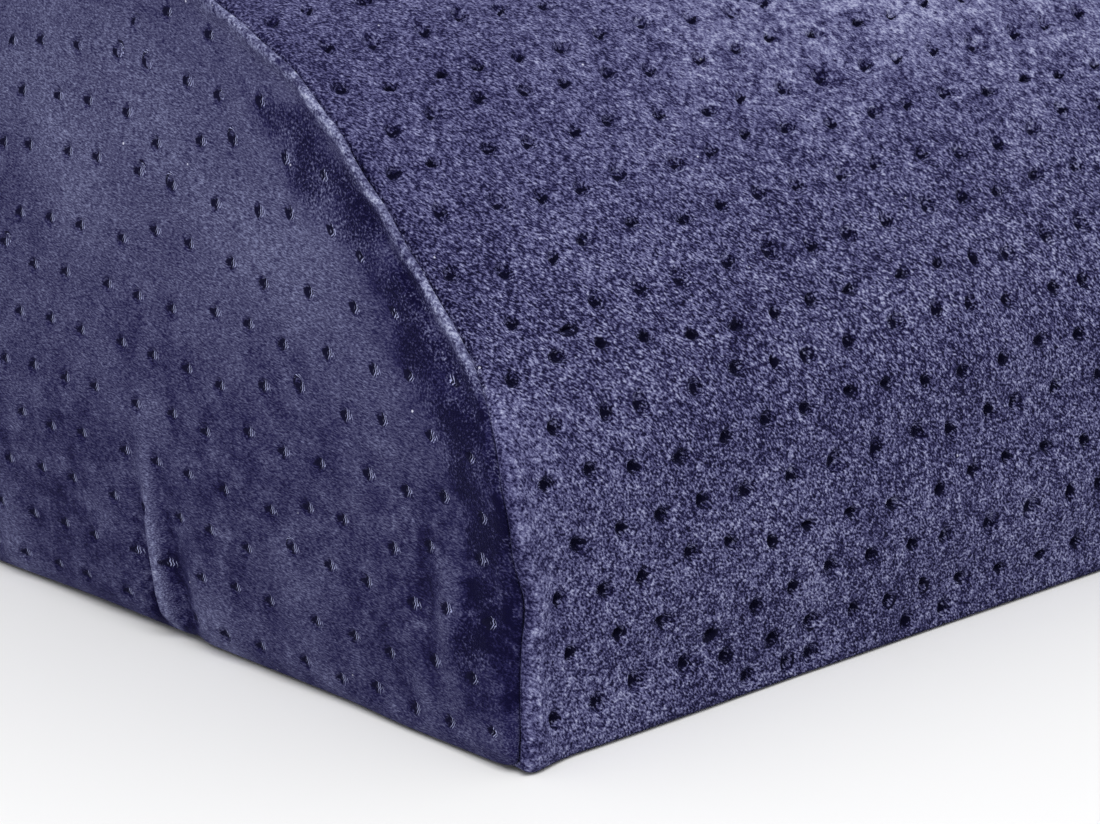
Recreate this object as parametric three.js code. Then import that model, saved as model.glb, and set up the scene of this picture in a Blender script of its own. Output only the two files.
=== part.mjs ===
import * as THREE from 'three';

// Leg elevation pillow: a filled half-moon bolster in dimpled velour, sewn from one long wrap panel
// and two half-moon end panels. Millimetres, +Z up. X runs along the length, the front faces -Y,
// and the flat base lies on z = 0, with the origin under the middle.

// Driving sizes
const LENGTH = 520; // over the crowns of the two end panels
const DEPTH = 215; // front wall to back wall
const HEIGHT = 127; // base to the top of the arch
const WALL_HEIGHT = 42; // upright stretch of the front and back
const SHOULDER_RADIUS = 39; // turn from the wall into the sloping flank
const BASE_RADIUS = 3.5; // turn from the wall under to the base
const FLANK_ANGLE = Math.PI / 4; // way the flank between shoulder and crown faces, above level
const CLOTH = 2.5; // end panel with its pile and backing
const GAP = 0.3; // between an end panel and the filling behind it
const PANEL_CROWN = 8; // middle of an end panel beyond its seam
const EDGE_DRAW = 3; // how far the end seams draw in the top of the arch
const EDGE_DRAW_FADE = 40; // distance from the seam over which that eases off
const CORNER_EAR = 2; // bottom corners of the wrap panel that stand proud beside the seam
const CORNER_EAR_LENGTH = 6;
const CORNER_EAR_HEIGHT = 16;

// Worked out from the driving sizes
const HALF_DEPTH = DEPTH / 2;
const SEAM_X = LENGTH / 2 - PANEL_CROWN;
const PANEL_MIDDLE = new THREE.Vector2(0, 0.4 * HEIGHT);
// The flank is one straight line that touches both the shoulder and the crown.
const CROWN_RADIUS =
  ((HALF_DEPTH - SHOULDER_RADIUS) * Math.cos(FLANK_ANGLE) +
    (WALL_HEIGHT - HEIGHT) * Math.sin(FLANK_ANGLE) +
    SHOULDER_RADIUS) /
  (1 - Math.sin(FLANK_ANGLE));

// Section through an end panel, from its middle out to its seam. A ring keeps a share of the way
// from the middle to the outline, less an inset, and rises beyond the seam.
const PANEL_RINGS = [
  { share: 0.2, inset: 0.4, rise: PANEL_CROWN },
  { share: 0.45, inset: 0.9, rise: 7.4 },
  { share: 0.62, inset: 1.2, rise: 6.5 },
  { share: 0.76, inset: 1.5, rise: 5.4 },
  { share: 0.86, inset: 1.7, rise: 4.4 },
  { share: 0.93, inset: 1.9, rise: 3.6 },
  { share: 0.97, inset: 2, rise: 3.2 },
];
// Rolled edge of an end panel, down into the seam
const PANEL_EDGE_RINGS = [
  { share: 1, inset: 1.5, rise: 3.4 },
  { share: 1, inset: 0.5, rise: 2.6 },
  { share: 1, inset: 0.3, rise: 1.5 },
  { share: 1, inset: 0.9, rise: 0.6 },
  { share: 1, inset: 2.4, rise: 0.15 },
];
const SEAM_TUCK = { share: 1, inset: 3.2, rise: 0.5 }; // back of the panel just inside its seam
// Rolled edge of the wrap panel, out of the seam
const WRAP_EDGE_RINGS = [
  { share: 1, inset: 2.4, rise: -0.15 },
  { share: 1, inset: 0.9, rise: -0.6 },
  { share: 1, inset: 0.25, rise: -1.5 },
];
const WRAP_STATIONS = [3, 7, 13, 24, 45, 80, 130, 190]; // distances in from the seam
const WRAP_BASE_STEPS = 10; // along the depth of the wrap panel's base
const PANEL_BASE_SPREAD = 14; // along the depth of an end panel's bottom edge, away from its folds
const FOLD_CUTS = [-1.6, -0.8, 0, 0.8, 1.6]; // across each fold, in half widths
const CLOSEST_CUTS = 1.6;

// Soft folds in each end panel: where along the depth, half width, how far each stands out, the height
// of its middle, how far it reaches up and down from there, and how far it leans back over that reach.
const LEFT_FOLDS = [
  { at: -92, width: 2.6, out: 0.7, middle: 26, reach: 17, lean: 1 },
  { at: -28, width: 9, out: 1.2, middle: 0, reach: 26, lean: 2 },
  { at: -13, width: 2.5, out: 2.2, middle: 0, reach: 34, lean: 1 },
  { at: 34, width: 5, out: 1.2, middle: 0, reach: 30, lean: -2 },
  { at: 88, width: 3, out: 0.8, middle: 24, reach: 16, lean: 2 },
];
const RIGHT_FOLDS = [
  { at: -86, width: 3, out: 0.9, middle: 23, reach: 15, lean: 2 },
  { at: -22, width: 4, out: 1.6, middle: 0, reach: 32, lean: -3 },
  { at: 19, width: 8, out: 1.2, middle: 0, reach: 24, lean: 2 },
  { at: 93, width: 2.6, out: 0.7, middle: 28, reach: 18, lean: -1 },
];

// Colours read off the velour in plain light
const WRAP_COLOUR = 0x4b4b6e;
const PANEL_COLOUR = 0x44456a;
const VELOUR_ROUGHNESS = 0.95;

// Half-moon outline as points with the way each faces: up the back, over the crown, down the front and
// back along the base, which is cut at the given stops along the depth.
function outline(baseStops) {
  const quarter = Math.PI / 2;
  const flatHalf = HALF_DEPTH - BASE_RADIUS;
  const shoulderY = HALF_DEPTH - SHOULDER_RADIUS;
  const crownZ = HEIGHT - CROWN_RADIUS;
  const arc = (y, z, radius, from, to) => new THREE.EllipseCurve(y, z, radius, radius, from, to);
  const line = (from, to) => new THREE.LineCurve(new THREE.Vector2(...from), new THREE.Vector2(...to));
  const at = (curve, share) => curve.getPoint(share).toArray();

  const backBase = arc(flatHalf, BASE_RADIUS, BASE_RADIUS, -quarter, 0);
  const backShoulder = arc(shoulderY, WALL_HEIGHT, SHOULDER_RADIUS, 0, FLANK_ANGLE);
  const crown = arc(0, crownZ, CROWN_RADIUS, FLANK_ANGLE, Math.PI - FLANK_ANGLE);
  const frontShoulder = arc(-shoulderY, WALL_HEIGHT, SHOULDER_RADIUS, Math.PI - FLANK_ANGLE, Math.PI);
  const frontBase = arc(-flatHalf, BASE_RADIUS, BASE_RADIUS, Math.PI, 3 * quarter);

  const stretches = [
    { curve: backBase, steps: 3 },
    { curve: line(at(backBase, 1), at(backShoulder, 0)), steps: 4 },
    { curve: backShoulder, steps: 5 },
    { curve: line(at(backShoulder, 1), at(crown, 0)), steps: 3 },
    { curve: crown, steps: 16 },
    { curve: line(at(crown, 1), at(frontShoulder, 0)), steps: 3 },
    { curve: frontShoulder, steps: 5 },
    { curve: line(at(frontShoulder, 1), at(frontBase, 0)), steps: 4 },
    { curve: frontBase, steps: 3 },
  ];
  const points = [];
  for (const { curve, steps } of stretches) {
    for (let i = 0; i < steps; i += 1) {
      const tangent = curve.getTangent(i / steps);
      points.push({ at: curve.getPoint(i / steps), faces: new THREE.Vector2(tangent.y, -tangent.x) });
    }
  }
  const down = new THREE.Vector2(0, -1);
  points.push({ at: new THREE.Vector2(-flatHalf, 0), faces: down });
  for (const stop of baseStops) {
    points.push({ at: new THREE.Vector2(stop, 0), faces: down });
  }
  return points;
}

// Stops along the base: an even spread, closer together across each fold.
function foldedStops(folds) {
  const limit = HALF_DEPTH - BASE_RADIUS - CLOSEST_CUTS;
  const stops = folds.flatMap(({ at, width }) => FOLD_CUTS.map((cut) => at + cut * width));
  for (let y = -limit; y <= limit; y += PANEL_BASE_SPREAD) {
    stops.push(y);
  }
  stops.sort((a, b) => a - b);
  return stops.filter((y, i) => Math.abs(y) < limit && (i === 0 || y - stops[i - 1] > CLOSEST_CUTS));
}

// The outline at a distance from an end seam: drawn in toward the seam the more it faces up, and with
// the bottom corners standing proud right beside it.
function drawnIn(points, fromSeam) {
  const draw = EDGE_DRAW * Math.exp(-fromSeam / EDGE_DRAW_FADE);
  const ear = CORNER_EAR * Math.exp(-((fromSeam / CORNER_EAR_LENGTH) ** 2));
  return points.map(({ at, faces }) => {
    const inward = draw * Math.max(faces.y, 0);
    const outward = ear * (1 - THREE.MathUtils.smoothstep(at.y, 0, CORNER_EAR_HEIGHT));
    const moved = at.clone().addScaledVector(faces, -inward);
    moved.x += faces.x * outward;
    return { at: moved, faces };
  });
}

// One ring of an end, at a share of the way out from the panel's middle, less an inset.
function ring(points, { share, inset }, xOf) {
  return points.map(({ at, faces }) => {
    const spot = PANEL_MIDDLE.clone().lerp(at, share).addScaledVector(faces, -inset);
    return new THREE.Vector3(xOf(spot), spot.x, spot.y);
  });
}

// Closed skin over rings of equal length, listed toward +X, with a fan over the first and the last.
function loft(rings) {
  const count = rings[0].length;
  const points = rings.flat();
  const middleOf = (loop) => loop.reduce((sum, p) => sum.add(p), new THREE.Vector3()).divideScalar(count);
  const first = points.push(middleOf(rings[0])) - 1;
  const last = points.push(middleOf(rings.at(-1))) - 1;
  const index = [];
  for (let i = 0; i < count; i += 1) {
    const next = (i + 1) % count;
    for (let r = 0; r + 1 < rings.length; r += 1) {
      const here = r * count;
      const there = here + count;
      index.push(here + i, here + next, there + next);
      index.push(here + i, there + next, there + i);
    }
    const end = (rings.length - 1) * count;
    index.push(first, next, i);
    index.push(last, end + i, end + next);
  }
  const geometry = new THREE.BufferGeometry().setFromPoints(points);
  geometry.setIndex(index);
  geometry.computeVertexNormals();
  return geometry;
}

// How far the folds lift an end panel at a spot on it.
function foldRise(folds, spot) {
  let rise = 0;
  for (const { at, width, out, middle, reach, lean } of folds) {
    const up = (spot.y - middle) / reach;
    const across = (spot.x - at - lean * up) / width;
    rise += out * Math.exp(-across * across) * THREE.MathUtils.smoothstep(1 - Math.abs(up), 0, 1);
  }
  return rise;
}

// End panel on the +X side: a crowned sheet with a rolled edge and the folds given.
function endPanel(folds) {
  const points = drawnIn(outline(foldedStops(folds)), 0);
  const face = (rise) => (spot) => SEAM_X + rise + foldRise(folds, spot);
  const inner = PANEL_RINGS.map((row) => ring(points, row, face(row.rise - CLOTH)));
  const tuck = ring(points, SEAM_TUCK, () => SEAM_X + SEAM_TUCK.rise + GAP);
  const edge = PANEL_EDGE_RINGS.map((row) => ring(points, row, () => SEAM_X + row.rise));
  const outer = PANEL_RINGS.map((row) => ring(points, row, face(row.rise)));
  return loft([...inner, tuck, ...edge.reverse(), ...outer.reverse()]);
}

// Filling in its wrap panel: the arch drawn in toward the end seams, with proud bottom corners,
// and end faces that back the end panels.
function wrapBody() {
  const flat = DEPTH - 2 * BASE_RADIUS;
  const baseStops = [];
  for (let step = 1; step < WRAP_BASE_STEPS; step += 1) {
    baseStops.push(flat * (step / WRAP_BASE_STEPS - 0.5));
  }
  const points = outline(baseStops);

  const endRings = [
    ...PANEL_RINGS.map((row) => ({ ...row, rise: row.rise - CLOTH - GAP })),
    SEAM_TUCK,
    ...WRAP_EDGE_RINGS,
  ];
  const endPoints = drawnIn(points, 0);
  const end = (side) => endRings.map((row) => ring(endPoints, row, () => side * (SEAM_X + row.rise)));
  const station = (x) =>
    drawnIn(points, SEAM_X - Math.abs(x)).map(({ at }) => new THREE.Vector3(x, at.x, at.y));
  const right = WRAP_STATIONS.map((fromSeam) => station(SEAM_X - fromSeam));
  const left = WRAP_STATIONS.map((fromSeam) => station(fromSeam - SEAM_X));
  return loft([...end(-1), ...left, station(0), ...right.reverse(), ...end(1).reverse()]);
}

function velour(colour) {
  return new THREE.MeshStandardMaterial({ color: colour, roughness: VELOUR_ROUGHNESS, metalness: 0 });
}

const pillow = new THREE.Group();

const body = new THREE.Mesh(wrapBody(), velour(WRAP_COLOUR));
body.name = 'wrap_body';
pillow.add(body);

const rightPanel = new THREE.Mesh(endPanel(RIGHT_FOLDS), velour(PANEL_COLOUR));
rightPanel.name = 'right_end_panel';
pillow.add(rightPanel);

const leftPanel = new THREE.Mesh(endPanel(LEFT_FOLDS), velour(PANEL_COLOUR));
leftPanel.name = 'left_end_panel';
leftPanel.scale.x = -1;
pillow.add(leftPanel);

export default pillow;
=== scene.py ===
import math

import bmesh
import bpy
import numpy as np
from mathutils import Matrix, Vector
from mathutils.kdtree import KDTree


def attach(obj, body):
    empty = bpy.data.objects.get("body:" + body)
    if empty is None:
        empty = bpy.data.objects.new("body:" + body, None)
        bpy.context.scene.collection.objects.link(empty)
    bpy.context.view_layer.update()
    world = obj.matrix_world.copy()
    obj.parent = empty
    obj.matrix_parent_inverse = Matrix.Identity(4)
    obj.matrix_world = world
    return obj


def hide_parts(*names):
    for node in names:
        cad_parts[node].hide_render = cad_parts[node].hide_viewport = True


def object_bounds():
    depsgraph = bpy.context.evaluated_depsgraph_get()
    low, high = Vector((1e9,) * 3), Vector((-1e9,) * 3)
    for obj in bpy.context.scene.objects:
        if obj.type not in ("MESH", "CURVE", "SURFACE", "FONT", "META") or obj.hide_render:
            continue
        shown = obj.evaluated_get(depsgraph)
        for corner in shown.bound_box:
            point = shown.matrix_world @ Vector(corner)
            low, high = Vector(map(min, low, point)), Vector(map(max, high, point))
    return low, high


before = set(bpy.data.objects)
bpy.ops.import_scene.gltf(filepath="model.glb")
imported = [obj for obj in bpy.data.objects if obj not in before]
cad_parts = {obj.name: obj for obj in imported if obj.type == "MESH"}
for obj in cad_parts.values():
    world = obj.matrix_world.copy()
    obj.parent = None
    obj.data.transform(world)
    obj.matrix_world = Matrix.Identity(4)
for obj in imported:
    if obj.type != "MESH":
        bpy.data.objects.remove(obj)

CAD_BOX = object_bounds()

# Sizes of the pillow in millimetres, as its solids have them
MM = 0.001
LENGTH = (CAD_BOX[1].x - CAD_BOX[0].x) / MM
HEIGHT = (CAD_BOX[1].z - CAD_BOX[0].z) / MM
DEPTH = 215
WALL_HEIGHT = 42
SHOULDER_RADIUS = 39
FLANK_ANGLE = math.pi / 4
PANEL_CROWN = 8
SEAM_X = LENGTH / 2 - PANEL_CROWN
EDGE_DRAW_FADE = 40
PANEL_MIDDLE = np.array([0, 0.4 * HEIGHT])
CLOTH = 2.5
CROWN_RADIUS = (
    (DEPTH / 2 - SHOULDER_RADIUS) * math.cos(FLANK_ANGLE)
    + (WALL_HEIGHT - HEIGHT) * math.sin(FLANK_ANGLE)
    + SHOULDER_RADIUS
) / (1 - math.sin(FLANK_ANGLE))
FLANK_LENGTH = math.hypot(
    DEPTH / 2 - SHOULDER_RADIUS + (SHOULDER_RADIUS - CROWN_RADIUS) * math.cos(FLANK_ANGLE),
    HEIGHT - CROWN_RADIUS - WALL_HEIGHT + (CROWN_RADIUS - SHOULDER_RADIUS) * math.sin(FLANK_ANGLE),
)
# Finer than in the solids: the cloth is folded under more tightly, its bottom corners stick out further, its
# foot spreads a little near them, and its end seams draw the arch in less.
BASE_RADIUS = 1
CORNER_EAR = 2.5
CORNER_EAR_LENGTH = 6
CORNER_EAR_HEIGHT = 16
FOOT_SPREAD = 1.1
FOOT_SPREAD_PEAK = 22
EDGE_DRAW = 0.5

# Half of the half-moon outline, from the middle of the base up the back to the crown: length of each
# stretch, its radius, 0 where it is straight, and the rows of mesh along it.
HALF_OUTLINE = [
    (DEPTH / 2 - BASE_RADIUS, 0, 2),
    (BASE_RADIUS * math.pi / 2, BASE_RADIUS, 2),
    (WALL_HEIGHT - BASE_RADIUS, 0, 8),
    (SHOULDER_RADIUS * FLANK_ANGLE, SHOULDER_RADIUS, 6),
    (FLANK_LENGTH, 0, 8),
    (CROWN_RADIUS * (math.pi / 2 - FLANK_ANGLE), CROWN_RADIUS, 15),
]
HALF_GIRTH = sum(length for length, _, _ in HALF_OUTLINE)
GIRTH = 2 * HALF_GIRTH
ARCH_START = HALF_OUTLINE[0][0] + HALF_OUTLINE[1][0] / 2
FLANK_MIDDLE = sum(length for length, _, _ in HALF_OUTLINE[:4]) + FLANK_LENGTH / 2
# Shifts round the outline over which the way it faces is eased, and the points at which it is searched
FACING_SPREAD = (-6, -3, 0, 3, 6)
OUTLINE_POINTS = 4000

# The end seams. High on the arch a seam is turned toward the end panel, which stands up beside it as a
# ridge. Low down it is turned toward the wrap, which rolls over the edge of the end panel. It changes over
# between these heights. Where it faces down it is tucked under. Each row of a rolled edge is given for the
# three in turn: how far in from the seam, below 0 beyond it, and how far inside the outline.
SEAM_CHANGE = (58, 74)
TUCKED_FACING = (-0.98, -0.58)
WRAP_EDGE = 3.6
WRAP_ROLL = [
    ((2.9, 0.05), (2.4, -0.2), (2.8, 0.08)),
    ((2.2, 0.2), (1.1, -0.35), (2.0, 0.2)),
    ((1.7, 0.5), (-0.2, -0.2), (1.3, 0.45)),
    ((1.35, 0.95), (-1.2, 0.3), (0.75, 0.9)),
    ((1.15, 1.5), (-1.8, 1.0), (0.4, 1.5)),
    ((1.05, 2.3), (-1.7, 1.7), (0.2, 2.3)),
    ((1.0, 3.3), (-0.8, 2.2), (0.15, 3.3)),
]
PANEL_EDGE = (3.6, 5.4, 3.6)
PANEL_EDGE_RISE = (0.8, 3.2, 3.2)
PANEL_ROLL = [
    ((-0.75, 2.7), (-3.1, 4.6), (-2.75, 2.8)),
    ((-0.95, 1.9), (-3.0, 3.9), (-2.35, 2.1)),
    ((-1.3, 1.1), (-2.8, 3.3), (-1.9, 1.4)),
    ((-1.35, 0.3), (-2.4, 2.6), (-1.45, 0.85)),
    ((-0.9, -0.3), (-1.95, 2.25), (-1.05, 0.5)),
    ((-0.2, -0.3), (-1.5, 2.1), (-0.7, 0.4)),
    ((0.4, 0.2), (-0.95, 2.3), (-0.4, 0.7)),
    ((0.65, 1.2), (-0.6, 3.0), (-0.2, 3.2)),
]
# How a hand-fed seam wanders, at its stitches, beyond them and where the pile is bunched: first along the
# length, then in depth, each with how far, the length of its waves and its draw, counted from the first draw
# of that end. The stitches reach this far to either side.
SEAM_WANDER = [
    ((0.7, 27, 0), (0.4, 19, 1)),
    ((0.35, 15, 3), (0.3, 12, 2)),
    ((0.4, 5.5, 5), (0.3, 5.5, 4)),
]
SEAM_SEEDS = {-1: 11, 1: 21}
STITCH_SPREAD = 2.5
# Where the front seam of the left end strays as it runs down: height, spread and how far in from the end.
# It takes the cloth beside it along, in front of these depths.
SEAM_STRAYS = [(51, 8, -1.8), (30, 7, 2.6), (17, 8, 1.4), (0, 5, -1)]
STRAY_REACH = 8
STRAY_FRONT = (60, 80)
# The painted shade in the crease of a seam, high on the arch and low: its place as in a rolled edge, its half
# width, how deep its painted shadow is where it gapes, on average, how far that swings and at most, and the
# heights over which it opens above the base
CREASE = ((0.9, 1.3), (-2.5, 3.2))
CREASE_WIDTH = (0.8, 1.2)
CREASE_GAP_SHADOW = (0.45, 0.8, 1.2)
CREASE_WAVES = 15
CREASE_FOOT = (5, 11)
CREASE_CLOSED_HIGH = 0.4
# Hidden backs inside the seam: share of the way out from the panel's middle, inset and rise. The wrap's has
# its own edge and lies further in.
BACK_RINGS = [(1, 4.2, -0.9), (0.93, 1.9, 3.6), (0.76, 1.5, 5.4), (0.45, 0.9, 7.4), (0.2, 0.4, 8.0)]
WRAP_BACK_EDGE = (1, 4.2, -1.6)
WRAP_BACK_GAP = 0.6

# Mesh of the wrap panel. Its walls and flanks are let in before they are filled, between these heights, and
# it lies loosely: it wanders over the arch, and a share of that in depth, but not at its sewn edges.
WRAP_COLUMNS = 94
WALL_PUFF = 1.3
WALL_SPAN = (0, WALL_HEIGHT + 8)
FLANK_PUFF = 0.8
FLANK_SPAN = (66, 106)
PUFF_FADE = 12
PUFF_FROM_SEAM = 25
LOOSE = 1.7
LOOSE_WAVES = 32
LOOSE_FADE = 10
LOOSE_DEPTH = 0.25
LOOSE_DEPTH_WAVES = 60
# Mesh of an end panel, the span and rise of its dome before it is filled, and the passes that even it out
PANEL_COLUMNS = 46
PANEL_ROWS = 24
PANEL_SPAN = np.array([DEPTH / 2, 0.55 * HEIGHT])
PANEL_START_RISE = 1.5
PANEL_PASSES = 80
# How stiff each cloth is as it is filled and how far it may swell, the steps of filling, and how near the
# edge and the base the wrap is held
WRAP_FILLING = (400, 5)
PANEL_FILLING = (20, 8)
FILLING_STEPS = 20
HELD_EDGE = 0.1
HELD_BASE = 1

# Soft folds in each end panel: where along the depth, half width, how far each stands out, the height
# of its middle, how far it reaches up and down from there, and how far it leans back over that reach.
LEFT_FOLDS = [
    (-92, 2.6, 0.7, 26, 17, 1),
    (-28, 9, 1.2, 0, 26, 2),
    (-13.5, 1.9, 2.0, 0, 54, 2),
    (34, 5, 1.2, 0, 30, -2),
    (88, 3, 0.8, 24, 16, 2),
]
RIGHT_FOLDS = [
    (-86, 3, 0.9, 23, 15, 2),
    (-22, 4, 1.6, 0, 32, -3),
    (19, 8, 1.2, 0, 24, 2),
    (93, 2.6, 0.7, 28, 18, -1),
]
# Finer creases beside the folds
LEFT_CREASES = [
    (-9.3, 2.2, -1.4, 5, 44, 2),
    (-18.2, 3.2, -1.6, 8, 30, 1),
    (-86, 3, -0.6, 27, 18, 1),
    (-97, 2.2, -0.5, 30, 16, 1),
    (-85, 2, 0.6, 9, 10, 1),
]
RIGHT_CREASES = [
    (-15, 3, -1.1, 4, 18, -2),
    (-29, 3.5, -1.2, 10, 20, -2),
    (87, 2.4, -0.6, 28, 16, -1),
]
# Folds start beyond the rolled edge, where the panel is also slack by this much. Its bottom edge is dented at
# one place and lifted behind it, up to this height.
FOLD_START = (2.3, 3.5)
PANEL_SLACK = 0.5
PANEL_SLACK_WAVES = 55
LEFT_DENT = -19.5
RIGHT_DENT = -30
DENT_WIDTH = 2
DENT_LIFT = 0.5
DENT_HEIGHT = 9
LIFT_END = (10, 40)

# Dimples knitted into the velour: how far the cloth dips round one, mesh outside its mouth, width of its
# sloping wall, its depth, how far it may stray within its mesh, and how far the pile closes over it on top
DIMPLE_PITCH = 10.3
WRAP_DIMPLE = (0.35, 0.9, 0.4, 1.7, 0.85, 0.7)
PANEL_DIMPLE = (0.2, 0.7, 0.4, 0.5, 0.8, 0)
# Scatter of their places, the furthest mesh that takes one, the heights over which the pile closes, the
# mesh that takes none, too low on the wrap, or on an end turned away or too small, the plane beyond the seam
# in which those of an end are laid out, and what the cloth keeps that is far from any
WRAP_SCATTER = 0.7
PANEL_SCATTER = 0.6
DIMPLE_REACH = 6
DIMPLE_CLOSING = (60, 85)
DIMPLE_FOOT = 4
DIMPLE_FACING = 0.5
DIMPLE_LEAST_AREA = 9
DIMPLE_PLANE = 6
NO_DIMPLE = (9, 9, 1)

# How the pile lies, with painted light and shade over it, lighter above 0, and where it is ruffled: the
# shade of each place, and how far it is ruffled there, or on the wrap how much less. Painted shade darkens
# the crease of a seam, the wrap's turned edge and the wrap beside the ridge; painted light lies on the far
# top of the wrap, on the ridge of each end and upward over the ends, and the folds have painted light on
# their crests and painted shade in their troughs. The wrap is also darker along its bottom 1.2 mm. On the
# ends also the length of the waves in which places wander, and the deepest fold that counts.
CREASE_SHADE = 0.45
WRAP_NAP_AND_PAINTED_LIGHT = {
    "all over": -0.03, "low seam": 0.1, "turned edge": -0.2, "beside the ridge": -0.06,
    "far top": 0.17, "shoulder": -0.03, "base fold": -0.4,
}
WRAP_SMOOTHED = {"high": 0.3, "far top": 0.15, "low seam": 0.4}
END_NAP_AND_PAINTED_LIGHT = {
    "all over": -0.15, "ridge": 0.15, "dark band": -0.36, "upward": 0.15, "patches": 0.05, "folds": 0.2,
}
END_RUFFLED = {"ridge": 0.55, "dark band": 1.1}
END_WAVES = {"ridge": 11, "dark band": 13, "patches": 40}
DEEPEST_FOLD = 1.2
# Width of the ridge, which is painted lighter, and of the dark band beside it, each with how far it wanders
# and its fade. The band is wider low down, fades over the top and near the base, and is mottled between a
# mean and a swing.
RIDGE = (2.3, 0.6, 1.6)
BAND = (8, 4, 8)
BAND_WIDER_LOW = 2
BAND_FADED_TOP = 0.85
BAND_FADED_LOW = 0.28
BAND_MOTTLE = (0.85, 0.4)

# Flat patterns: the millimetres to the width of each, and where the unseen parts start and how high they are
WRAP_PATTERN = 512
WRAP_PATTERN_ENDS = 480
WRAP_BASE_AT = (0.745, 0.12)
WRAP_ENDS_AT = (0.88, 0.11)
END_PATTERN = 226
END_FACE_AT = 0.005
END_BACK_AT = (0.58, 0.4)
# The unseen ends of the wrap: how near the seam, how far turned to the end and how deep. Its pattern is
# measured round the outline at a distance where the seam has no pull.
UNSEEN_FROM_SEAM = 2.6
UNSEEN_FACING = 0.7
UNSEEN_DEPTH = 0.9
FAR_FROM_SEAM = 100


def outline_at(girth):
    """Points of the outline and the way they face, at distances round it from the middle of the base."""
    girth = np.mod(np.asarray(girth, float), GIRTH)
    front = girth > HALF_GIRTH
    way = np.where(front, GIRTH - girth, girth)
    spot = np.zeros((len(way), 2))
    turned = np.zeros(len(way))
    start, heading, begun = np.zeros(2), 0.0, 0.0
    for length, radius, _ in HALF_OUTLINE:
        here = way >= begun
        along = np.clip(way - begun, 0, length)[here]
        end = heading + length / radius if radius else heading
        if radius:
            turn = heading + along / radius
            step = radius * np.stack([np.sin(turn) - math.sin(heading), math.cos(heading) - np.cos(turn)], 1)
            ahead = radius * np.array([math.sin(end) - math.sin(heading), math.cos(heading) - math.cos(end)])
        else:
            turn = np.full(len(along), heading)
            step = along[:, None] * np.array([math.cos(heading), math.sin(heading)])
            ahead = length * np.array([math.cos(heading), math.sin(heading)])
        spot[here] = start + step
        turned[here] = turn
        start, heading, begun = start + ahead, end, begun + length
    faces = np.stack([np.sin(turned), -np.cos(turned)], 1)
    side = np.where(front, -1.0, 1.0)
    spot[:, 0] *= side
    faces[:, 0] *= side
    return spot, faces


def smooth(x):
    """Eases from 0 to 1."""
    x = np.clip(x, 0, 1)
    return x * x * (3 - 2 * x)


def between(value, start, end):
    """0 up to the start, 1 from the end on, and eased between them."""
    return smooth((value - start) / (end - start))


def drawn_in(girth, from_seam):
    """The outline at a distance from an end seam: drawn in where it faces up, with proud bottom corners.
    The way it faces is eased round those corners, so that what is set inside them doesn't fold over."""
    spot, _ = outline_at(girth)
    faces = sum(outline_at(girth + shift)[1] for shift in FACING_SPREAD)
    faces /= np.linalg.norm(faces, axis=1, keepdims=True)
    draw = EDGE_DRAW * np.exp(-from_seam / EDGE_DRAW_FADE) * np.maximum(faces[:, 1], 0)
    ear = CORNER_EAR * np.exp(-((from_seam / CORNER_EAR_LENGTH) ** 4))
    ear = ear + FOOT_SPREAD * (from_seam / FOOT_SPREAD_PEAK) * np.exp(1 - from_seam / FOOT_SPREAD_PEAK)
    ear = faces[:, 0] * ear * (1 - between(spot[:, 1], 0, CORNER_EAR_HEIGHT))
    spot = spot - faces * draw[:, None]
    spot[:, 0] += ear
    return spot, faces


def wander(a, b, size, seed):
    """Slow wandering over the cloth, mostly between -1 and 1, repeatable: five waves about size mm long, each
    running its own way."""
    turns = np.random.default_rng(seed).uniform(0, 2 * math.pi, (5, 2))
    total = np.zeros(np.shape(a))
    for n, (way, start) in enumerate(turns):
        across = math.cos(way) * a + math.sin(way) * b
        total += np.sin(2 * math.pi * across / (size * (0.6 + 0.2 * n)) + start)
    return total / 3


def changed_over(z):
    """0 below the heights where the seam changes over, 1 above them."""
    return between(z, *SEAM_CHANGE)


def as_turned(spot, faces, toward_end, toward_wrap, under):
    """Values for a seam turned toward the end panel, toward the wrap and under, mixed as it is turned."""
    upright = between(faces[:, 1], *TUCKED_FACING)
    high = changed_over(spot[:, 1])
    return upright * (high * toward_end + (1 - high) * toward_wrap) + (1 - upright) * under


def seam_row(side, *turns):
    """One row of a rolled edge, which places its points by their girth. The seam strays a little along the
    length and in depth, as a hand-fed seam does, but not along the base."""
    seed = SEAM_SEEDS[side]

    def place(girth):
        at_seam = drawn_in(girth, 0)
        from_seam, inset = (as_turned(*at_seam, *values) for values in zip(*turns))
        spot, faces = drawn_in(girth, np.maximum(from_seam, 0))
        x = SEAM_X - from_seam
        along = np.cos(2 * math.pi * girth / GIRTH) * GIRTH / (2 * math.pi)
        across = np.sin(2 * math.pi * girth / GIRTH) * GIRTH / (2 * math.pi)
        stitched = np.exp(-((from_seam / STITCH_SPREAD) ** 2))
        beyond = between(-from_seam, 0, 2)
        bunched = between(-from_seam, -1.5, 0.5)
        for share, (out, deep) in zip((stitched, beyond, bunched), SEAM_WANDER):
            share = share * between(faces[:, 1], -0.5, 0)
            x = x + out[0] * share * wander(along, across, out[1], seed + out[2])
            inset = inset + deep[0] * share * wander(along, across, deep[1], seed + deep[2])
        return np.column_stack([side * x, spot - faces * inset[:, None]])
    return place


def back_row(side, share, inset, rise):
    """One row of the hidden back of an end, a share of the way out from the panel's middle."""
    def place(girth):
        spot, faces = drawn_in(girth, 0)
        spot = PANEL_MIDDLE + share * (spot - PANEL_MIDDLE) - faces * inset
        return np.column_stack([np.full(len(girth), side * (SEAM_X + rise)), spot])
    return place


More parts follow.
